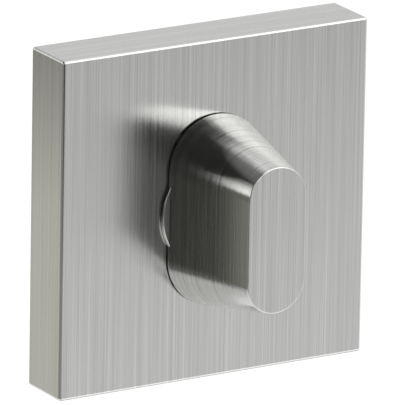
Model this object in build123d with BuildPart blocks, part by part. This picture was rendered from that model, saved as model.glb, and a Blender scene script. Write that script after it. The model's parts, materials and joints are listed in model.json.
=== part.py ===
from build123d import *
import os
from math import cos, radians, sin

# Thumb turn on a square rose, the inside half of a toilet indicator bolt. All lengths are in millimetres.
# The door's face is the plane y = 0 and the turn points along -Y. The spindle's axis is the Y axis.
# A height is a distance in front of the door's face, and a negative height lies inside the door.

# One length serves every cut that runs past what it cuts.
overrun = 1.0

# Rose cover: a pressed square shell
rose_width = 52.0
rose_depth = 9.0
cover_wall = 1.2
cover_front = 1.5
cover_edge_radius = 0.45
cover_hole_clearance = 0.06

# Neck: a round flange under the grip, with a shank that runs back into the door
neck_diameter = 18.4
neck_rise = 0.72
neck_rim_radius = 0.16
shank_diameter = 14.0
neck_tail = 4.0
shank_end_chamfer = 0.4
web_thickness = 3.9

# Grip: a stadium, long way up, that tapers from a narrow straight rim at its base to its flat front.
# Its base sits over the neck's flange and stays a little off the rose.
turn_gap = 0.33
turn_depth = 17.52
turn_seat_clearance = 0.05
turn_relief_height = 0.14
turn_relief_depth = 0.3
turn_rim_height = 0.25
turn_base_radius = 8.05
turn_base_spacing = 13.3
turn_front_radius = 4.85
turn_front_spacing = 12.6
turn_front_edge_radius = 0.18

# Spindle: a square bar to the lock
spindle_size = 8.0
spindle_edge_radius = 0.3
spindle_end_chamfer = 0.8
spindle_reach = 36.0
spindle_clearance = 0.05
spindle_end_gap = 0.4

# Base plate: a moulded square with a round boss, pegs into the door and hollows on its back
base_gap = 0.15
base_thickness = 5.0
base_corner_radius = 1.2
boss_diameter = 26.0
boss_edge_chamfer = 0.4
peg_diameter = 8.0
peg_length = 4.5
peg_end_chamfer = 0.6
hollow_floor = 1.6
hollow_rib = 1.6
hollow_width = 19.6
hollow_height = 7.6
hollow_corner_radius = 1.0
hollow_edge_wall = 2.6

# Fixings through and into the door
bolt_spacing = 38.0
bolt_hole_diameter = 4.3
bolt_head_diameter = 8.2
screw_edge = 7.65
screw_hole_diameter = 4.0
wood_screw_diameter = 3.5
wood_screw_core_diameter = 2.5
wood_screw_head_diameter = 7.0
wood_screw_head_rim = 0.25
wood_screw_head_sink = 0.1
wood_screw_seat_gap = 0.05
wood_screw_length = 16.0
wood_screw_tip_length = 3.0
wood_screw_thread_start = 0.4
countersink_angle = 90.0
cross_recess_width = 0.9
cross_recess_span = 3.6
cross_recess_depth = 1.5

# Bearing bush: a plain bearing with a flange under the neck
bush_wall = 1.2
bush_running_gap = 0.05
bush_flange_diameter = 22.6
bush_flange_thickness = 0.9
bush_cover_gap = 0.3
bush_seat_gap = 0.03
neck_end_float = 0.1

# What keeps the neck in the base plate, from the door's face outwards
ring_setback = 0.3
ring_thickness = 1.0
ring_groove_depth = 0.3
ring_side_play = 0.05
ring_bed_gap = 0.02
ring_band = 2.1
ring_taper = 0.35
ring_opening = 4.2
ring_eye_angle = 26.0
ring_lug_radius = 1.5
ring_lug_hole_radius = 0.75
thrust_washer_thickness = 0.5
thrust_washer_diameter = 20.6
thrust_washer_bore_gap = 0.1
spring_washer_gap = 0.1
spring_washer_height = 0.65
spring_washer_thickness = 0.3
spring_washer_bore_gap = 0.3
spring_washer_diameter = 20.0
recess_diameter = 22.4

# Friction ring: round rubber section in a groove of the shank
friction_ring_section = 0.96
friction_groove_width = 1.2
friction_groove_depth = 1.0
friction_ring_gap = 0.03

# Screw and pins that join the grip to the neck
turn_screw_diameter = 4.0
turn_screw_length = 12.0
turn_screw_head_diameter = 7.0
turn_screw_head_height = 2.8
turn_screw_socket = 2.5
turn_screw_socket_depth = 1.3
turn_screw_hole_gap = 0.15
turn_screw_thread_gap = 0.03
turn_screw_end_chamfer = 0.5
turn_screw_end_room = 1.2
head_pocket_gap = 0.3
head_pocket_room = 0.2
pin_diameter = 2.0
pin_outer_wall = 1.1
pin_fit_gap = 0.03
pin_end_room = 0.1
pin_in_neck = 1.6
pin_in_turn = 4.0
pin_end_chamfer = 0.2

# Set screw for the spindle
grub_diameter = 3.0
grub_thread_gap = 0.03
grub_sink = 0.2
grub_socket = 1.5
grub_socket_depth = 1.2
grub_point_chamfer = 0.4

# Spring clips between base plate and cover
clip_count = 4
clip_thickness = 0.3
clip_width = 3.2
clip_chord = 11.0
clip_bite = 0.28
clip_side_gap = 0.1
clip_back_wall = 1.3
clip_seat_gap = 0.05
clip_pocket_depth = 1.1
clip_pocket_end_gap = 0.4
cover_groove_depth = 0.4
cover_groove_length = 8.0

# Derived places
cavity_width = rose_width - 2 * cover_wall
cavity_front = rose_depth - cover_front
base_width = cavity_width - 2 * base_gap
screw_spacing = base_width - 2 * screw_edge
neck_radius = neck_diameter / 2
shank_radius = shank_diameter / 2
neck_front = rose_depth + neck_rise
turn_base = rose_depth + turn_gap
turn_seat_radius = neck_radius + turn_seat_clearance
bush_front = cavity_front - bush_cover_gap
boss_front = bush_front - bush_flange_thickness
neck_flange_back = bush_front + neck_end_float
ring_front = ring_setback + ring_thickness
thrust_washer_front = ring_front + thrust_washer_thickness
spring_washer_back = thrust_washer_front + spring_washer_gap
recess_floor = spring_washer_back + spring_washer_height
bush_bore_radius = shank_radius + bush_running_gap
bush_outer_radius = bush_bore_radius + bush_wall
web_back = neck_front - web_thickness
head_pocket_depth = turn_screw_head_height + head_pocket_room
socket_front = web_back - head_pocket_depth
socket_size = spindle_size + 2 * spindle_clearance
spindle_front = socket_front - spindle_end_gap
pin_offset = neck_radius - pin_outer_wall - pin_diameter / 2
grub_height = -neck_tail / 2
friction_groove_middle = (recess_floor + boss_front) / 2
screw_head_radius = wood_screw_head_diameter / 2
screw_head_top = base_thickness - wood_screw_head_sink
screw_sink_radius = screw_head_radius + wood_screw_head_sink + wood_screw_head_rim + wood_screw_seat_gap
clip_back = clip_back_wall + clip_side_gap
clip_pocket_floor = base_width / 2 - clip_pocket_depth

# In the section plane, local x is a radius and local y a height, so a round piece is its profile revolved.
section = Plane(origin=(0, 0, 0), x_dir=(1, 0, 0), z_dir=(0, 0, -1))

os.makedirs("parts", exist_ok=True)

# Rose cover: a square shell, open towards the door, with a round hole for the neck
with BuildPart() as rose_cover:
    with BuildSketch(Plane.XZ):
        Rectangle(rose_width, rose_width)
    extrude(amount=rose_depth)
    fillet(edges().filter_by(Axis.Y), radius=cover_edge_radius)
    fillet(faces().sort_by(Axis.Y)[0].edges(), radius=cover_edge_radius)
    with BuildSketch(Plane.XZ):
        Rectangle(cavity_width, cavity_width)
    extrude(amount=cavity_front, mode=Mode.SUBTRACT)
    with BuildSketch(Plane.XZ.offset(rose_depth)):
        Circle(neck_radius + cover_hole_clearance)
    extrude(amount=-cover_front, mode=Mode.SUBTRACT)
    # A shallow groove in each side wall takes the bow of a spring clip.
    with BuildSketch(Plane.XZ.offset(clip_back_wall)):
        with PolarLocations(cavity_width / 2, clip_count):
            Rectangle(2 * cover_groove_depth, cover_groove_length)
    extrude(amount=clip_width + 2 * clip_side_gap, mode=Mode.SUBTRACT)
rose_cover.part.label = "rose_cover"
export_step(rose_cover.part, "parts/rose_cover.step")

# Base plate: the moulded carrier of the bush, the clips and the fixings
with BuildPart() as base_plate:
    with BuildSketch(Plane.XZ):
        RectangleRounded(base_width, base_width, base_corner_radius)
    extrude(amount=base_thickness)
    with BuildSketch(Plane.XZ):
        Circle(boss_diameter / 2)
    extrude(amount=boss_front)
    boss_rims = edges().filter_by(GeomType.CIRCLE).sort_by(Axis.Y)[0]
    chamfer(boss_rims, length=boss_edge_chamfer)
    with BuildSketch(Plane.XZ):
        with GridLocations(bolt_spacing, 0, 2, 1):
            Circle(peg_diameter / 2)
    extrude(amount=-peg_length)
    peg_rims = faces().sort_by(Axis.Y)[-2:].edges()
    chamfer(peg_rims, length=peg_end_chamfer)
    # Four hollows on the back, in pairs above and below the boss, with a rib between the two of a pair
    with BuildSketch(Plane.XZ):
        hollow_pitch = base_width - 2 * hollow_edge_wall - hollow_height
        with GridLocations((hollow_width + hollow_rib) / 2, hollow_pitch, 2, 2):
            RectangleRounded((hollow_width - hollow_rib) / 2, hollow_height, hollow_corner_radius)
    extrude(amount=base_thickness - hollow_floor, mode=Mode.SUBTRACT)
    # Round recess for the retaining ring and its washers, and the seat of the bush
    with BuildSketch(Plane.XZ):
        Circle(recess_diameter / 2)
    extrude(amount=recess_floor, mode=Mode.SUBTRACT)
    with BuildSketch(Plane.XZ.offset(recess_floor)):
        Circle(bush_outer_radius + bush_seat_gap)
    extrude(amount=boss_front - recess_floor + overrun, mode=Mode.SUBTRACT)
    # Pockets for the spring clips, open to the front
    with BuildSketch(Plane.XZ.offset(clip_back_wall)):
        with PolarLocations(base_width / 2, clip_count):
            Rectangle(2 * clip_pocket_depth, clip_chord + 2 * clip_pocket_end_gap)
    extrude(amount=base_thickness - clip_back_wall + overrun, mode=Mode.SUBTRACT)
    # Countersunk holes: two for bolts through the door, four for wood screws
    with Locations(Plane.XZ.offset(base_thickness)):
        with GridLocations(bolt_spacing, 0, 2, 1):
            CounterSinkHole(bolt_hole_diameter / 2, bolt_head_diameter / 2,
                            counter_sink_angle=countersink_angle)
        with GridLocations(screw_spacing, screw_spacing, 2, 2):
            CounterSinkHole(screw_hole_diameter / 2, screw_sink_radius, counter_sink_angle=countersink_angle)
base_plate.part.label = "base_plate"
export_step(base_plate.part, "parts/base_plate.step")

# Bearing bush: it lies in the boss with its flange in front
with BuildPart() as bearing_bush:
    with BuildSketch(Plane.XZ.offset(recess_floor)):
        Circle(bush_outer_radius)
    extrude(amount=boss_front - recess_floor)
    with BuildSketch(Plane.XZ.offset(boss_front)):
        Circle(bush_flange_diameter / 2)
    extrude(amount=bush_flange_thickness)
    with BuildSketch(Plane.XZ.offset(recess_floor)):
        Circle(bush_bore_radius)
    extrude(amount=bush_front - recess_floor, mode=Mode.SUBTRACT)
bearing_bush.part.label = "bearing_bush"
export_step(bearing_bush.part, "parts/bearing_bush.step")

# Spring clips: a bowed strip in each side of the base plate, its bow in the cover's groove
clip_inner = clip_pocket_floor + clip_seat_gap
clip_crest = cavity_width / 2 + clip_bite
for number in range(clip_count):
    clip_angle = radians(360 / clip_count * number)
    clip_plane = Plane(origin=(0, -clip_back, 0), x_dir=(cos(clip_angle), 0, sin(clip_angle)),
                       z_dir=(0, -1, 0))
    with BuildPart() as cover_clip:
        with BuildSketch(clip_plane):
            with BuildLine():
                inner = ThreePointArc(
                    (clip_inner, -clip_chord / 2),
                    (clip_crest - clip_thickness, 0),
                    (clip_inner, clip_chord / 2),
                )
                outer = ThreePointArc(
                    (clip_inner + clip_thickness, -clip_chord / 2),
                    (clip_crest, 0),
                    (clip_inner + clip_thickness, clip_chord / 2),
                )
                Line(inner @ 0, outer @ 0)
                Line(inner @ 1, outer @ 1)
            make_face()
        extrude(amount=clip_width)
    cover_clip.part.label = f"cover_clip_{number + 1}"
    export_step(cover_clip.part, f"parts/cover_clip_{number + 1}.step")

# Wood screws: countersunk heads below the base plate's front, threads in the door
screw_core_radius = wood_screw_core_diameter / 2
screw_cone_end = screw_head_top - wood_screw_head_rim - (screw_head_radius - screw_core_radius)
screw_tip = screw_head_top - wood_screw_length
screw_places = [
    (screw_spacing / 2, screw_spacing / 2),
    (-screw_spacing / 2, screw_spacing / 2),
    (-screw_spacing / 2, -screw_spacing / 2),
    (screw_spacing / 2, -screw_spacing / 2),
]
for number, (screw_x, screw_z) in enumerate(screw_places):
    screw_section = Plane(origin=(screw_x, 0, screw_z), x_dir=(1, 0, 0), z_dir=(0, 0, -1))
    with BuildPart() as wood_screw:
        with BuildSketch(screw_section):
            with BuildLine():
                Polyline(
                    (0, screw_head_top),
                    (screw_head_radius, screw_head_top),
                    (screw_head_radius, screw_head_top - wood_screw_head_rim),
                    (screw_core_radius, screw_cone_end),
                    (screw_core_radius, -wood_screw_thread_start),
                    (wood_screw_diameter / 2, -wood_screw_thread_start),
                    (wood_screw_diameter / 2, screw_tip + wood_screw_tip_length),
                    (0, screw_tip),
                    close=True,
                )
            make_face()
        revolve(axis=Axis((screw_x, 0, screw_z), (0, 1, 0)))
        with BuildSketch(Plane.XZ.offset(screw_head_top)):
            with Locations((screw_x, screw_z)):
                Rectangle(cross_recess_span, cross_recess_width)
                Rectangle(cross_recess_width, cross_recess_span)
        extrude(amount=-cross_recess_depth, mode=Mode.SUBTRACT)
    wood_screw.part.label = f"wood_screw_{number + 1}"
    export_step(wood_screw.part, f"parts/wood_screw_{number + 1}.step")

# Spring washer: a cone whose rim bears on the recess floor
spring_inner_radius = shank_radius + spring_washer_bore_gap
spring_outer_radius = spring_washer_diameter / 2
with BuildPart() as spring_washer:
    with BuildSketch(section):
        with BuildLine():
            Polyline(
                (spring_inner_radius, spring_washer_back),
                (spring_inner_radius, spring_washer_back + spring_washer_thickness),
                (spring_outer_radius, recess_floor),
                (spring_outer_radius, recess_floor - spring_washer_thickness),
                close=True,
            )
        make_face()
    revolve(axis=Axis.Y)
spring_washer.part.label = "spring_washer"
export_step(spring_washer.part, "parts/spring_washer.step")

# Neck: flange and shank in one turned piece, with the grooves and sockets that hold its neighbours
ring_groove_radius = shank_radius - ring_groove_depth
friction_groove_radius = shank_radius - friction_groove_depth
friction_groove_back = friction_groove_middle - friction_groove_width / 2
friction_groove_front = friction_groove_middle + friction_groove_width / 2
with BuildPart() as turn_neck:
    with BuildSketch(section):
        with BuildLine():
            Polyline(
                (0, -neck_tail),
                (shank_radius - shank_end_chamfer, -neck_tail),
                (shank_radius, -neck_tail + shank_end_chamfer),
                (shank_radius, ring_setback - ring_side_play),
                (ring_groove_radius, ring_setback - ring_side_play),
                (ring_groove_radius, ring_front + ring_side_play),
                (shank_radius, ring_front + ring_side_play),
                (shank_radius, friction_groove_back),
                (friction_groove_radius, friction_groove_back),
                (friction_groove_radius, friction_groove_front),
                (shank_radius, friction_groove_front),
                (shank_radius, neck_flange_back),
                (neck_radius, neck_flange_back),
                (neck_radius, neck_front),
                (0, neck_front),
                close=True,
            )
        make_face()
    revolve(axis=Axis.Y)
    fillet(edges().filter_by(GeomType.CIRCLE).sort_by(Axis.Y)[0], radius=neck_rim_radius)
    with BuildSketch(Plane.XZ.offset(-neck_tail)):
        Rectangle(socket_size, socket_size)
    extrude(amount=socket_front + neck_tail, mode=Mode.SUBTRACT)
    with BuildSketch(Plane.XZ.offset(socket_front)):
        Circle(turn_screw_head_diameter / 2 + head_pocket_gap)
    extrude(amount=head_pocket_depth, mode=Mode.SUBTRACT)
    with BuildSketch(Plane.XZ.offset(web_back)):
        Circle(turn_screw_diameter / 2 + turn_screw_hole_gap)
    extrude(amount=web_thickness + overrun, mode=Mode.SUBTRACT)
    with BuildSketch(Plane.XZ.offset(neck_front)):
        with Locations((0, pin_offset), (0, -pin_offset)):
            Circle(pin_diameter / 2 + pin_fit_gap)
    extrude(amount=-(pin_in_neck + pin_end_room), mode=Mode.SUBTRACT)
    with BuildSketch(Plane.XY):
        with Locations((0, -grub_height)):
            Circle(grub_diameter / 2 + grub_thread_gap)
    extrude(amount=shank_radius + overrun, mode=Mode.SUBTRACT)
turn_neck.part.label = "turn_neck"
export_step(turn_neck.part, "parts/turn_neck.step")

# Grip: the tapered stadium with a round seat for the flange, a tapped hole and two pin holes in its base
with BuildPart() as thumb_turn:
    with BuildSketch(Plane.XZ.offset(turn_base + turn_rim_height)):
        SlotCenterToCenter(turn_base_spacing, 2 * turn_base_radius, rotation=90)
    with BuildSketch(Plane.XZ.offset(turn_base + turn_depth)):
        SlotCenterToCenter(turn_front_spacing, 2 * turn_front_radius, rotation=90)
    loft(ruled=True)
    fillet(faces().sort_by(Axis.Y)[0].edges(), radius=turn_front_edge_radius)
    with BuildSketch(Plane.XZ.offset(turn_base)):
        SlotCenterToCenter(turn_base_spacing, 2 * turn_base_radius, rotation=90)
    extrude(amount=turn_rim_height)
    with BuildSketch(Plane.XZ.offset(rose_depth)):
        Circle(turn_seat_radius)
    extrude(amount=neck_rise, mode=Mode.SUBTRACT)
    # The seat's floor steps back where the seat ends sideways, at the grip's flat sides or, on a grip
    # wider than the seat, at the seat's own wall. So no sharp edge bears on the flange.
    turn_seat_reach = min(turn_base_radius, turn_seat_radius)
    with BuildSketch(Plane.XZ.offset(neck_front)):
        Circle(turn_seat_radius)
        Rectangle(2 * (turn_seat_reach - turn_relief_depth), neck_diameter + overrun, mode=Mode.SUBTRACT)
    extrude(amount=turn_relief_height, mode=Mode.SUBTRACT)
    with BuildSketch(Plane.XZ.offset(neck_front)):
        Circle(turn_screw_diameter / 2 + turn_screw_thread_gap)
    extrude(amount=turn_screw_length - web_thickness + turn_screw_end_room, mode=Mode.SUBTRACT)
    with BuildSketch(Plane.XZ.offset(neck_front)):
        with Locations((0, pin_offset), (0, -pin_offset)):
            Circle(pin_diameter / 2 + pin_fit_gap)
    extrude(amount=pin_in_turn + pin_end_room, mode=Mode.SUBTRACT)
thumb_turn.part.label = "thumb_turn"
export_step(thumb_turn.part, "parts/thumb_turn.step")

# Screw from behind through the neck's web into the grip
with BuildPart() as turn_screw:
    with BuildSketch(Plane.XZ.offset(web_back)):
        Circle(turn_screw_head_diameter / 2)
    extrude(amount=-turn_screw_head_height)
    with BuildSketch(Plane.XZ.offset(web_back)):
        Circle(turn_screw_diameter / 2)
    extrude(amount=turn_screw_length)
    chamfer(faces().sort_by(Axis.Y)[0].edges(), length=turn_screw_end_chamfer)
    with BuildSketch(Plane.XZ.offset(web_back - turn_screw_head_height)):
        RegularPolygon(turn_screw_socket / 2, 6, major_radius=False)
    extrude(amount=turn_screw_socket_depth, mode=Mode.SUBTRACT)
turn_screw.part.label = "turn_screw"
export_step(turn_screw.part, "parts/turn_screw.step")

# Drive pins between neck and grip, above and below the screw
for number, pin_z in enumerate((pin_offset, -pin_offset)):
    with BuildPart() as drive_pin:
        with BuildSketch(Plane.XZ.offset(neck_front - pin_in_neck)):
            with Locations((0, pin_z)):
                Circle(pin_diameter / 2)
        extrude(amount=pin_in_neck + pin_in_turn)
        chamfer(edges().filter_by(GeomType.CIRCLE), length=pin_end_chamfer)
    drive_pin.part.label = f"drive_pin_{number + 1}"
    export_step(drive_pin.part, f"parts/drive_pin_{number + 1}.step")

# Spindle: a square bar with bevelled ends
with BuildPart() as spindle:
    with BuildSketch(Plane.XZ.offset(-spindle_reach)):
        Rectangle(spindle_size, spindle_size)
    extrude(amount=spindle_reach + spindle_front)
    chamfer(faces().sort_by(Axis.Y)[-1].edges(), length=spindle_end_chamfer)
    fillet(edges().filter_by(Axis.Y), radius=spindle_edge_radius)
spindle.part.label = "spindle"
export_step(spindle.part, "parts/spindle.step")

# Set screw: from the shank's side down to the spindle's flat
grub_bottom = spindle_size / 2
grub_length = shank_radius - grub_sink - grub_bottom
with BuildPart() as spindle_grub_screw:
    with BuildSketch(Plane.XY.offset(grub_bottom)):
        with Locations((0, -grub_height)):
            Circle(grub_diameter / 2)
    extrude(amount=grub_length)
    chamfer(faces().sort_by(Axis.Z)[0].edges(), length=grub_point_chamfer)
    with BuildSketch(Plane.XY.offset(grub_bottom + grub_length)):
        with Locations((0, -grub_height)):
            RegularPolygon(grub_socket / 2, 6, major_radius=False)
    extrude(amount=-grub_socket_depth, mode=Mode.SUBTRACT)
spindle_grub_screw.part.label = "spindle_grub_screw"
export_step(spindle_grub_screw.part, "parts/spindle_grub_screw.step")

# Retaining ring: an open ring, broadest opposite its opening, with an eye at each end
ring_bed_radius = ring_groove_radius + ring_bed_gap
ring_eye_radius = ring_bed_radius + ring_lug_radius
with BuildPart() as retaining_ring:
    with BuildSketch(Plane.XZ.offset(ring_setback)):
        with Locations((0, -ring_taper)):
            Circle(ring_bed_radius + ring_band - ring_taper)
        eye_places = PolarLocations(ring_eye_radius, 2, start_angle=90 - ring_eye_angle,
                                    angular_range=2 * ring_eye_angle, endpoint=True)
        with eye_places:
            Circle(ring_lug_radius)
        with eye_places:
            Circle(ring_lug_hole_radius, mode=Mode.SUBTRACT)
        Circle(ring_bed_radius, mode=Mode.SUBTRACT)
        with Locations((0, ring_eye_radius)):
            Rectangle(ring_opening, 2 * ring_band, mode=Mode.SUBTRACT)
    extrude(amount=ring_thickness)
retaining_ring.part.label = "retaining_ring"
export_step(retaining_ring.part, "parts/retaining_ring.step")

# Thrust washer: a flat plastic ring on the retaining ring
with BuildPart() as thrust_washer:
    with BuildSketch(Plane.XZ.offset(ring_front)):
        Circle(thrust_washer_diameter / 2)
        Circle(shank_radius + thrust_washer_bore_gap, mode=Mode.SUBTRACT)
    extrude(amount=thrust_washer_thickness)
thrust_washer.part.label = "thrust_washer"
export_step(thrust_washer.part, "parts/thrust_washer.step")

# Friction ring: a round rubber section between groove and bush
friction_ring_centre = bush_bore_radius - friction_ring_gap - friction_ring_section / 2
with BuildPart() as friction_ring:
    with BuildSketch(section):
        with Locations((friction_ring_centre, friction_groove_middle)):
            Circle(friction_ring_section / 2)
    revolve(axis=Axis.Y)
friction_ring.part.label = "friction_ring"
export_step(friction_ring.part, "parts/friction_ring.step")
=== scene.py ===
import json
import math

import bmesh
import bpy
from mathutils import Matrix, Vector


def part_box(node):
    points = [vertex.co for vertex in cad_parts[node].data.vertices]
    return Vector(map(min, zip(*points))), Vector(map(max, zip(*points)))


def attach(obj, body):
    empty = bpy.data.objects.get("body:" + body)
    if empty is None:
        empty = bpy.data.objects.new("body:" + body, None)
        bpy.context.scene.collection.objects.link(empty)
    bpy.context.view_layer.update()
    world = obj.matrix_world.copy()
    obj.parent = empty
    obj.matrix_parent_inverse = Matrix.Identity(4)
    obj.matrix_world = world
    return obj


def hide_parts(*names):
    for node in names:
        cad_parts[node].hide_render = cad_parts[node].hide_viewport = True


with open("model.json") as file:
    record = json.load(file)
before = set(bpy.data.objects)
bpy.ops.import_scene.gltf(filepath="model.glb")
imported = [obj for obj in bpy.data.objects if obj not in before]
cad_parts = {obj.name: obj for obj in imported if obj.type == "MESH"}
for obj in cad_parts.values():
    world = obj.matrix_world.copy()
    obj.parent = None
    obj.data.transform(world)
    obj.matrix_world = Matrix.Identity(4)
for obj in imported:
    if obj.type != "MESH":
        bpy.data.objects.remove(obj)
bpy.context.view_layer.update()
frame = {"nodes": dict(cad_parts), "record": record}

MM = 0.001
WHITE = (1.0, 1.0, 1.0)


# Materials: small helpers for node trees

def new_material(name):
    material = bpy.data.materials.new(name)
    material.use_nodes = True
    tree = material.node_tree
    return material, tree, tree.nodes["Principled BSDF"]


def feed(tree, socket, value):
    """Links another node's output to a socket, or sets the socket to a constant."""
    if isinstance(value, bpy.types.NodeSocket):
        tree.links.new(value, socket)
    else:
        socket.default_value = value


def math_node(tree, operation, *values):
    node = tree.nodes.new("ShaderNodeMath")
    node.operation = operation
    for socket, value in zip(node.inputs, values):
        feed(tree, socket, value)
    return node.outputs["Value"]


def mix_node(tree, kind, factor, first, second, blend="MIX"):
    """Mixes two numbers, vectors or colours: kind is Float, Vector or Color."""
    node = tree.nodes.new("ShaderNodeMix")
    node.data_type = "RGBA" if kind == "Color" else kind.upper()
    node.blend_type = blend
    inputs = {socket.identifier: socket for socket in node.inputs}
    feed(tree, inputs["Factor_Float"], factor)
    feed(tree, inputs[f"A_{kind}"], first)
    feed(tree, inputs[f"B_{kind}"], second)
    return next(socket for socket in node.outputs if socket.identifier == f"Result_{kind}")


def noise(tree, scales, detail, roughness=0.5):
    """Noise on object coordinates, which stay with the piece, times a scale along each axis."""
    coordinates = tree.nodes.new("ShaderNodeTexCoord")
    mapping = tree.nodes.new("ShaderNodeMapping")
    mapping.inputs["Scale"].default_value = scales
    tree.links.new(coordinates.outputs["Object"], mapping.inputs["Vector"])
    texture = tree.nodes.new("ShaderNodeTexNoise")
    texture.inputs["Scale"].default_value = 1.0
    texture.inputs["Detail"].default_value = detail
    texture.inputs["Roughness"].default_value = roughness
    tree.links.new(mapping.outputs["Vector"], texture.inputs["Vector"])
    return texture.outputs["Fac"]


def ramp(tree, value, source, result):
    """Maps a value from one range to another, and holds it at that one's ends."""
    node = tree.nodes.new("ShaderNodeMapRange")
    tree.links.new(value, node.inputs["Value"])
    for name, limit in zip(("From Min", "From Max", "To Min", "To Max"), (*source, *result)):
        node.inputs[name].default_value = limit
    return node.outputs["Result"]


def around(middle, share):
    """The range that reaches a share below and above a middle value."""
    return middle * (1.0 - share), middle * (1.0 + share)


def tint(tree, shader, color, tone):
    """Base colour: one colour times a tone that varies over the surface."""
    product = mix_node(tree, "Color", 1.0, (*color, 1.0), tone, blend="MULTIPLY")
    tree.links.new(product, shader.inputs["Base Color"])


def bump(tree, shader, height, strength, distance):
    node = tree.nodes.new("ShaderNodeBump")
    node.inputs["Strength"].default_value = strength
    node.inputs["Distance"].default_value = distance
    tree.links.new(height, node.inputs["Height"])
    tree.links.new(node.outputs["Normal"], shader.inputs["Normal"])


# Brushed steel: grain runs upright on the front and round the sides, and stretches the gloss across itself

STEEL_COLOR = (0.62, 0.62, 0.608)
STEEL_ROUGHNESS = 0.19
STEEL_ANISOTROPY = 0.75
STEEL_BUMP = 1.0
STEEL_RELIEF = 0.004 * MM
GRIP_RELIEF = 0.006 * MM
GRAIN_ACROSS = 6000.0
GRAIN_ALONG = 22.0
GRAIN_ROUGHNESS = 0.6
GRAIN_SHARE = 0.7
GRAIN_DETAIL = 3.0
BAND_ACROSS = 2200.0
BAND_ALONG = 12.0
BAND_ROUGHNESS = 0.7
TONE_RANGE = (0.35, 0.65)
GLOSS_RANGE = (0.36, 0.64)
GLOSS_CONTRAST = 0.15
FRONT_CONTRAST = 0.14
SIDE_CONTRAST = 0.12
GRIP_SIDE_CONTRAST = 0.21
FRONT_LIMIT = 0.7
FRONT_STRETCH = (1.0, 0.0, 0.0)
SIDE_STRETCH = (0.0, 1.0, 0.0)


def front_facing(tree):
    """1 on faces that look along the turn's axis, 0 on the sides. It uses the piece's own normals."""
    coordinates = tree.nodes.new("ShaderNodeTexCoord")
    parts = tree.nodes.new("ShaderNodeSeparateXYZ")
    tree.links.new(coordinates.outputs["Normal"], parts.inputs["Vector"])
    size = math_node(tree, "ABSOLUTE", parts.outputs["Y"])
    return math_node(tree, "GREATER_THAN", size, FRONT_LIMIT)


def streaks(tree, front, across, along, roughness):
    """Noise drawn out upright on the front, and round the piece on its sides."""
    return mix_node(
        tree, "Float", front,
        noise(tree, (along, across, along), GRAIN_DETAIL, roughness),
        noise(tree, (across, along, along), GRAIN_DETAIL, roughness),
    )


def brushed_steel(name, side_contrast, relief):
    material, tree, shader = new_material(name)
    front = front_facing(tree)
    fine = streaks(tree, front, GRAIN_ACROSS, GRAIN_ALONG, GRAIN_ROUGHNESS)
    broad = streaks(tree, front, BAND_ACROSS, BAND_ALONG, BAND_ROUGHNESS)
    grain = math_node(
        tree, "ADD",
        math_node(tree, "MULTIPLY", fine, GRAIN_SHARE),
        math_node(tree, "MULTIPLY", broad, 1.0 - GRAIN_SHARE),
    )
    tint(tree, shader, STEEL_COLOR, mix_node(
        tree, "Float", front,
        ramp(tree, grain, TONE_RANGE, around(1.0, side_contrast)),
        ramp(tree, grain, TONE_RANGE, around(1.0, FRONT_CONTRAST)),
    ))
    gloss = ramp(tree, grain, GLOSS_RANGE, around(STEEL_ROUGHNESS, GLOSS_CONTRAST))
    tree.links.new(gloss, shader.inputs["Roughness"])
    shader.inputs["Metallic"].default_value = 1.0
    shader.inputs["Anisotropic"].default_value = STEEL_ANISOTROPY
    stretch = tree.nodes.new("ShaderNodeVectorTransform")
    stretch.vector_type = "VECTOR"
    stretch.convert_from = "OBJECT"
    stretch.convert_to = "WORLD"
    own_stretch = mix_node(tree, "Vector", front, SIDE_STRETCH, FRONT_STRETCH)
    tree.links.new(own_stretch, stretch.inputs["Vector"])
    tree.links.new(stretch.outputs["Vector"], shader.inputs["Tangent"])
    bump(tree, shader, grain, STEEL_BUMP, relief)
    return material


# Other finishes: moulded plastic, rubber and phosphated steel, and bright or plated metal

CLOUD_RANGE = (0.3, 0.7)
MOULDED_CLOUD = 60.0
MOULDED_CLOUD_DETAIL = 2.0
MOULDED_DETAIL = 4.0
MOULDED_CONTRAST = 0.15
MOULDED_BUMP = 0.35
MOULDED_RELIEF = 0.04 * MM
PLASTIC_TEXTURE = 900.0
PHOSPHATE_TEXTURE = 1500.0
RUBBER_TEXTURE = 1200.0
BRIGHT_CLOUD = 420.0
BRIGHT_DETAIL = 3.0
BRIGHT_TONES = (0.94, 1.04)
BRIGHT_GLOSS = (0.8, 1.25)
BRIGHT_BUMP = 0.3
BRIGHT_RELIEF = 0.004 * MM
SCRATCH_ACROSS = 3600.0
SCRATCH_ALONG = 120.0


def moulded(name, color, rough, texture_scale=PLASTIC_TEXTURE):
    material, tree, shader = new_material(name)
    texture = noise(tree, (texture_scale,) * 3, MOULDED_DETAIL)
    cloud = noise(tree, (MOULDED_CLOUD,) * 3, MOULDED_CLOUD_DETAIL)
    tint(tree, shader, color, ramp(tree, cloud, CLOUD_RANGE, around(1.0, MOULDED_CONTRAST)))
    gloss = ramp(tree, texture, CLOUD_RANGE, around(rough, MOULDED_CONTRAST))
    tree.links.new(gloss, shader.inputs["Roughness"])
    bump(tree, shader, texture, MOULDED_BUMP, MOULDED_RELIEF)
    return material


def bright_metal(name, color, rough):
    material, tree, shader = new_material(name)
    scratch = noise(tree, (SCRATCH_ACROSS, SCRATCH_ALONG, SCRATCH_ACROSS), BRIGHT_DETAIL)
    cloud = noise(tree, (BRIGHT_CLOUD,) * 3, BRIGHT_DETAIL)
    tint(tree, shader, color, ramp(tree, cloud, CLOUD_RANGE, BRIGHT_TONES))
    gloss = ramp(tree, scratch, CLOUD_RANGE, [rough * share for share in BRIGHT_GLOSS])
    tree.links.new(gloss, shader.inputs["Roughness"])
    shader.inputs["Metallic"].default_value = 1.0
    bump(tree, shader, scratch, BRIGHT_BUMP, BRIGHT_RELIEF)
    return material


# Each slot's finish. The grip is satin steel too, with a stronger grain round its sides

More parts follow.
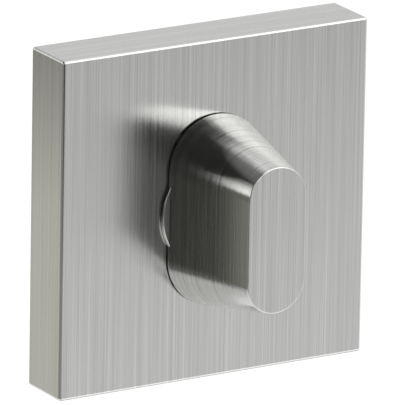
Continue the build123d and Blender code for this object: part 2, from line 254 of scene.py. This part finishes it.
SLOT_MATERIALS = {
    "satin_steel": brushed_steel("satin_steel", SIDE_CONTRAST, STEEL_RELIEF),
    "dark_nylon": moulded("dark_nylon", (0.05, 0.05, 0.055), 0.5),
    "white_acetal": moulded("white_acetal", (0.82, 0.81, 0.77), 0.4),
    "spring_steel": bright_metal("spring_steel", (0.45, 0.45, 0.46), 0.3),
    "zinc_plate": bright_metal("zinc_plate", (0.60, 0.62, 0.65), 0.25),
    "black_steel": moulded("black_steel", (0.04, 0.04, 0.045), 0.35, PHOSPHATE_TEXTURE),
    "black_rubber": moulded("black_rubber", (0.02, 0.02, 0.02), 0.6, RUBBER_TEXTURE),
}
GRIP_STEEL = brushed_steel("satin_steel_grip", GRIP_SIDE_CONTRAST, GRIP_RELIEF)

for subpart in frame["record"]["subparts"]:
    is_grip = subpart["node"] == "thumb_turn"
    finish = GRIP_STEEL if is_grip else SLOT_MATERIALS[subpart["material_slot"]]
    for slot in frame["nodes"][subpart["node"]].material_slots:
        slot.material = finish


# Wood screws: the solids' plain thread is replaced by a cut one, on the same head, core and reach

SCREW_COUNT = 4
SCREW_SEGMENTS = 48
SCREW_CORE = 1.25 * MM
SCREW_THREAD = 1.75 * MM
SCREW_THREAD_START = 0.4 * MM
SCREW_PITCH = 1.8 * MM
SCREW_TIP = 3.0 * MM
SCREW_HEAD_RIM = 0.25 * MM
SCREW_HEAD_EDGE = 0.1 * MM
SCREW_RECESS_SPAN = 3.6 * MM
SCREW_RECESS_WIDTH = 0.9 * MM
SCREW_RECESS_DEPTH = 1.5 * MM
SCREW_RECESS_TAPER = 0.55
SCREW_FADE_TURNS = 0.5
SCREW_TURN_STEP = math.radians(37.0)
SCREW_WELD = 0.002 * MM
SHARP_EDGE = math.radians(35.0)
SMALL_SINE = 0.001
# One turn of the thread, as shares of the pitch and of the thread's height
THREAD_PROFILE_SHARES = ((0.0, 0.0), (0.32, 0.0), (0.47, 1.0), (0.53, 1.0), (0.68, 0.0))


def recess_radius(angle):
    """Outline of a cross recess, as a radius at an angle from one of its arms."""
    lean = abs((angle + math.pi / 4) % (math.pi / 2) - math.pi / 4)
    reach = SCREW_RECESS_SPAN / 2
    return min(reach, SCREW_RECESS_WIDTH / 2 / max(math.sin(lean), SMALL_SINE))


def screw_rings(head_radius, thread_at):
    """(distance from the head's top, radius at each angle) from the recess's floor to the thread."""
    angles = [math.tau * step / SCREW_SEGMENTS for step in range(SCREW_SEGMENTS)]
    outline = [recess_radius(angle) for angle in angles]
    plain = [
        (0.0, head_radius - SCREW_HEAD_EDGE),
        (SCREW_HEAD_EDGE, head_radius),
        (SCREW_HEAD_RIM, head_radius),
        (SCREW_HEAD_RIM + head_radius - SCREW_CORE, SCREW_CORE),
        (thread_at, SCREW_CORE),
    ]
    rings = [
        (SCREW_RECESS_DEPTH, [0.0] * SCREW_SEGMENTS),
        (SCREW_RECESS_DEPTH, [SCREW_RECESS_TAPER * radius for radius in outline]),
        (0.0, outline),
    ]
    return rings + [(depth, [radius] * SCREW_SEGMENTS) for depth, radius in plain]


def thread_point(row, step, thread_at, length):
    """(distance from the head's top, radius) of one point of the helical rows."""
    turn, part = divmod(row, len(THREAD_PROFILE_SHARES))
    share, height = THREAD_PROFILE_SHARES[part]
    depth = thread_at + SCREW_PITCH * (turn + share - 1 + step / SCREW_SEGMENTS)
    depth = min(max(depth, thread_at), length)
    slim = min(1.0, (length - depth) / SCREW_TIP)
    grown = min(1.0, (depth - thread_at) / (SCREW_FADE_TURNS * SCREW_PITCH))
    return depth, slim * (SCREW_CORE + height * grown * (SCREW_THREAD - SCREW_CORE))


def make_wood_screw(number):
    node = f"wood_screw_{number}"
    low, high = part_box(node)
    head_radius = (high[0] - low[0]) / 2
    length = high[1] - low[1]
    thread_at = SCREW_THREAD_START - low[1]
    mesh = bmesh.new()

    def vertex(step, depth, radius):
        angle = math.tau * step / SCREW_SEGMENTS + number * SCREW_TURN_STEP
        return mesh.verts.new((
            (low[0] + high[0]) / 2 + radius * math.cos(angle),
            low[1] + depth,
            (low[2] + high[2]) / 2 + radius * math.sin(angle),
        ))

    rings = [
        [vertex(step, depth, radii[step]) for step in range(SCREW_SEGMENTS)]
        for depth, radii in screw_rings(head_radius, thread_at)
    ]
    for first, second in zip(rings, rings[1:]):
        for step in range(SCREW_SEGMENTS):
            after = (step + 1) % SCREW_SEGMENTS
            mesh.faces.new((first[step], first[after], second[after], second[step]))

    turns = math.ceil((length - thread_at) / SCREW_PITCH) + 1
    rows = [
        [
            vertex(step, *thread_point(row, step, thread_at, length))
            for step in range(SCREW_SEGMENTS + 1)
        ]
        for row in range(turns * len(THREAD_PROFILE_SHARES) + 1)
    ]
    for first, second in zip(rows, rows[1:]):
        for step in range(SCREW_SEGMENTS):
            mesh.faces.new((first[step], first[step + 1], second[step + 1], second[step]))

    bmesh.ops.remove_doubles(mesh, verts=mesh.verts, dist=SCREW_WELD)
    bmesh.ops.dissolve_degenerate(mesh, edges=mesh.edges, dist=SCREW_WELD)
    bmesh.ops.recalc_face_normals(mesh, faces=mesh.faces)
    for face in mesh.faces:
        face.smooth = True
    for edge in mesh.edges:
        edge.smooth = edge.calc_face_angle(0.0) < SHARP_EDGE
    data = bpy.data.meshes.new(f"threaded_screw_{number}")
    mesh.to_mesh(data)
    mesh.free()
    data.materials.append(SLOT_MATERIALS["zinc_plate"])
    screw = bpy.data.objects.new(f"threaded_screw_{number}", data)
    bpy.context.collection.objects.link(screw)
    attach(screw, "rose")
    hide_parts(node)


for screw_index in range(SCREW_COUNT):
    make_wood_screw(screw_index + 1)


# Stage: a pale round floor, far below. What the camera sees of it is lifted to white, and its shadow stays

FLOOR_LEVEL = -0.40
FLOOR_RADIUS = 1.6
FLOOR_SIDES = 96
FLOOR_TONE = 0.93
FLOOR_ROUGHNESS = 0.9
FLOOR_LIFT = 0.34


def seen_directly(tree):
    """1 where the camera, a reflection or clear glass sees the surface, 0 where it only lights others."""
    path = tree.nodes.new("ShaderNodeLightPath")
    seen = math_node(tree, "MAXIMUM", path.outputs["Is Camera Ray"], path.outputs["Is Glossy Ray"])
    return math_node(tree, "MAXIMUM", seen, path.outputs["Is Transmission Ray"])


def make_floor():
    bpy.ops.mesh.primitive_circle_add(
        vertices=FLOOR_SIDES, radius=FLOOR_RADIUS, fill_type="NGON", location=(0, 0, FLOOR_LEVEL)
    )
    floor = bpy.context.object
    floor.name = "floor"
    material, tree, shader = new_material("floor_white")
    shader.inputs["Base Color"].default_value = (FLOOR_TONE, FLOOR_TONE, FLOOR_TONE, 1.0)
    shader.inputs["Roughness"].default_value = FLOOR_ROUGHNESS
    shader.inputs["Specular IOR Level"].default_value = 0.0
    shader.inputs["Emission Color"].default_value = (*WHITE, 1.0)
    lift = math_node(tree, "MULTIPLY", seen_directly(tree), FLOOR_LIFT)
    tree.links.new(lift, shader.inputs["Emission Strength"])
    floor.data.materials.append(material)


make_floor()


# Cards: the grey and white of the room that the metal mirrors. Only the gloss sees them

# Some show only in a first reflection, and some only in a reflection of a reflection. Ray depth tells
# these apart: it is 1 at the first one, so each kind compares it with a value between 1 and 2.
FIRST_ONLY = "LESS_THAN"
LATER_ONLY = "GREATER_THAN"
BETWEEN_DEPTHS = 1.5


def card_material(name, size, level, color, across, upward, only):
    """Even light, or light graded from side to side or from bottom to top."""
    material = bpy.data.materials.new(name)
    material.use_nodes = True
    tree = material.node_tree
    tree.nodes.clear()
    output = tree.nodes.new("ShaderNodeOutputMaterial")
    glow = tree.nodes.new("ShaderNodeEmission")
    glow.inputs["Color"].default_value = (*color, 1.0)
    coordinates = tree.nodes.new("ShaderNodeTexCoord")
    place = tree.nodes.new("ShaderNodeSeparateXYZ")
    tree.links.new(coordinates.outputs["Object"], place.inputs["Vector"])
    strength = level
    for grade, axis, length in zip((across, upward), "XY", size):
        if grade:
            start, end, start_share, end_share = grade
            stretch = (start / length, end / length)
            share = ramp(tree, place.outputs[axis], stretch, (start_share, end_share))
            strength = math_node(tree, "MULTIPLY", strength, share)
    feed(tree, glow.inputs["Strength"], strength)
    if only:
        path = tree.nodes.new("ShaderNodeLightPath")
        clear = tree.nodes.new("ShaderNodeBsdfTransparent")
        mix = tree.nodes.new("ShaderNodeMixShader")
        shown = math_node(tree, only, path.outputs["Ray Depth"], BETWEEN_DEPTHS)
        tree.links.new(shown, mix.inputs["Fac"])
        tree.links.new(clear.outputs["BSDF"], mix.inputs[1])
        tree.links.new(glow.outputs["Emission"], mix.inputs[2])
        tree.links.new(mix.outputs["Shader"], output.inputs["Surface"])
    else:
        tree.links.new(glow.outputs["Emission"], output.inputs["Surface"])
    return material


def card(name, toward, distance, size, level, color=WHITE, across=None, upward=None, only=None):
    """A card that faces the rose from a direction, given as azimuth and elevation in degrees.
    Azimuth 0 is straight behind the rose (+Y), 90 to its right (+X) and 180 in front.
    across and upward grade the level: (from, to, share at from, share at to), in metres."""
    azimuth, elevation = (math.radians(angle) for angle in toward)
    direction = Vector((
        math.sin(azimuth) * math.cos(elevation),
        math.cos(azimuth) * math.cos(elevation),
        math.sin(elevation),
    ))
    bpy.ops.mesh.primitive_plane_add(size=1.0)
    plane = bpy.context.object
    plane.name = name
    turn = (-direction).to_track_quat("Z", "Y").to_matrix().to_4x4()
    plane.matrix_world = (
        Matrix.Translation(direction * distance) @ turn @ Matrix.Diagonal((*size, 1.0, 1.0))
    )
    plane.data.materials.append(card_material(name, size, level, color, across, upward, only))
    plane.visible_camera = False
    plane.visible_diffuse = False
    plane.visible_shadow = False
    plane.visible_transmission = False


WARM_WHITE = (1.0, 1.0, 0.97)
OLIVE = (1.0, 1.0, 0.89)
DEEP_OLIVE = (1.0, 1.0, 0.7)

# In front of the rose: its front and the grip's front
card("card_front", (180.0, -16.0), 0.45, (2.4, 0.30), 0.70, upward=(-0.045, 0.045, 1.10, 0.77))
card("soft_box_right", (141.0, 37.0), 0.90, (0.90, 0.90), 2.0)

# To the left and behind: the rose's left side, its top and the grip's upper end
card("card_left_upper", (322.0, 47.0), 0.80, (0.80, 0.44), 0.27)
card("card_left_far", (270.0, 45.0), 0.50, (0.51, 0.58), 0.03)
card("card_left_low", (318.0, -14.0), 0.30, (0.24, 0.16), 0.62, color=OLIVE,
     across=(-0.06, 0.0, 0.52, 1.0), upward=(-0.012, 0.022, 1.07, 0.46))
card("card_left_side", (268.0, -14.0), 0.33, (0.41, 0.17), 0.30, color=OLIVE)
card("card_left_strip", (303.0, 13.0), 0.60, (0.30, 0.19), 1.55, color=WARM_WHITE)
card("card_back_right", (32.0, 15.0), 1.0, (0.93, 0.32), 0.77)
card("card_back_upper", (35.0, 41.0), 0.90, (1.04, 0.48), 0.80)

# To the left and in front: the rose's upright edge, and the rim between the grip and the rose
card("card_rim", (232.0, 20.0), 0.50, (0.24, 0.24), 0.16)
card("card_edge", (213.0, -14.0), 0.40, (0.50, 0.26), 0.03, upward=(-0.047, 0.002, 14.0, 1.0))

# Below: the grip's lower end and the rose's bottom edge
card("card_below", (215.0, -50.0), 0.40, (0.50, 0.36), 0.95)
card("card_under", (136.0, -43.0), 0.45, (0.40, 0.16), 1.6, only=FIRST_ONLY)
card("card_under_back", (48.0, -46.0), 0.45, (0.50, 0.26), 0.30, only=FIRST_ONLY)

# Painted reflections and painted shade, in what the rose and the grip show of each other: cards seen only
# in a reflection of a reflection, dark for the grip's dark side and its dark image in the rose, bright for
# light passed between them
card("painted_shade_inner_left", (236.0, 20.0), 0.28, (1.15, 1.05), 0.006, color=DEEP_OLIVE,
     upward=(-0.243, -0.065, 2.6, 1.0), only=LATER_ONLY)
card("painted_reflection_inner_low", (193.0, -28.5), 0.25, (0.115, 0.062), 1.3,
     upward=(-0.02, 0.031, 1.0, 0.6), only=LATER_ONLY)
card("painted_shade_inner_front", (182.0, -20.0), 0.26, (0.15, 0.18), 0.095, only=LATER_ONLY)
card("painted_reflection_inner_top", (155.0, 8.0), 0.28, (0.22, 0.18), 2.1,
     across=(-0.11, 0.0, 0.45, 1.0), only=LATER_ONLY)


# World: white where the camera and the gloss see it, softer where it lights matt surfaces

WORLD_SEEN = 1.0
WORLD_FILL = 0.75


def make_world():
    world = bpy.data.worlds.new("studio")
    bpy.context.scene.world = world
    world.use_nodes = True
    tree = world.node_tree
    tree.nodes.clear()
    output = tree.nodes.new("ShaderNodeOutputWorld")
    strength = ramp(tree, seen_directly(tree), (0.0, 1.0), (WORLD_FILL, WORLD_SEEN))
    background = tree.nodes.new("ShaderNodeBackground")
    background.inputs["Color"].default_value = (*WHITE, 1.0)
    tree.links.new(strength, background.inputs["Strength"])
    tree.links.new(background.outputs["Background"], output.inputs["Surface"])


make_world()


# Lamp: a soft key from the upper right, which the gloss doesn't see

LAMP_PLACE = Vector((0.5, -0.7, 1.0))
LAMP_POWER = 1.5
LAMP_SIZE = 0.6


def make_lamp():
    data = bpy.data.lights.new("key_lamp", "AREA")
    data.energy = LAMP_POWER
    data.size = LAMP_SIZE
    lamp = bpy.data.objects.new("key_lamp", data)
    bpy.context.collection.objects.link(lamp)
    lamp.location = LAMP_PLACE
    lamp.rotation_mode = "QUATERNION"
    lamp.rotation_quaternion = (-LAMP_PLACE).to_track_quat("-Z", "Y")
    lamp.visible_glossy = False


make_lamp()


# Camera: a long lens from the front left and above, as in the photograph

CAMERA_AZIMUTH = math.radians(-31.025)
CAMERA_ELEVATION = math.radians(17.030)
CAMERA_ROLL = math.radians(0.992)
CAMERA_DISTANCE = 1.307
CAMERA_LENS = 783.4
CAMERA_ACROSS = 0.002843
CAMERA_UP = -0.001397
SENSOR_WIDTH = 36.0
CLIP_START = 0.01
CLIP_END = 20.0


def make_camera():
    back = Vector((
        math.sin(CAMERA_AZIMUTH) * math.cos(CAMERA_ELEVATION),
        -math.cos(CAMERA_AZIMUTH) * math.cos(CAMERA_ELEVATION),
        math.sin(CAMERA_ELEVATION),
    ))
    right = Vector((0, 0, 1)).cross(back).normalized()
    up = back.cross(right)
    rolled_right = math.cos(CAMERA_ROLL) * right + math.sin(CAMERA_ROLL) * up
    rolled_up = -math.sin(CAMERA_ROLL) * right + math.cos(CAMERA_ROLL) * up
    data = bpy.data.cameras.new("camera")
    data.lens = CAMERA_LENS
    data.sensor_width = SENSOR_WIDTH
    data.clip_start = CLIP_START
    data.clip_end = CLIP_END
    camera = bpy.data.objects.new("camera", data)
    bpy.context.collection.objects.link(camera)
    place = CAMERA_DISTANCE * back + CAMERA_ACROSS * rolled_right + CAMERA_UP * rolled_up
    camera.matrix_world = Matrix((
        (rolled_right.x, rolled_up.x, back.x, place.x),
        (rolled_right.y, rolled_up.y, back.y, place.y),
        (rolled_right.z, rolled_up.z, back.z, place.z),
        (0.0, 0.0, 0.0, 1.0),
    ))
    bpy.context.scene.camera = camera


make_camera()

bpy.context.scene.view_settings.view_transform = "Standard"
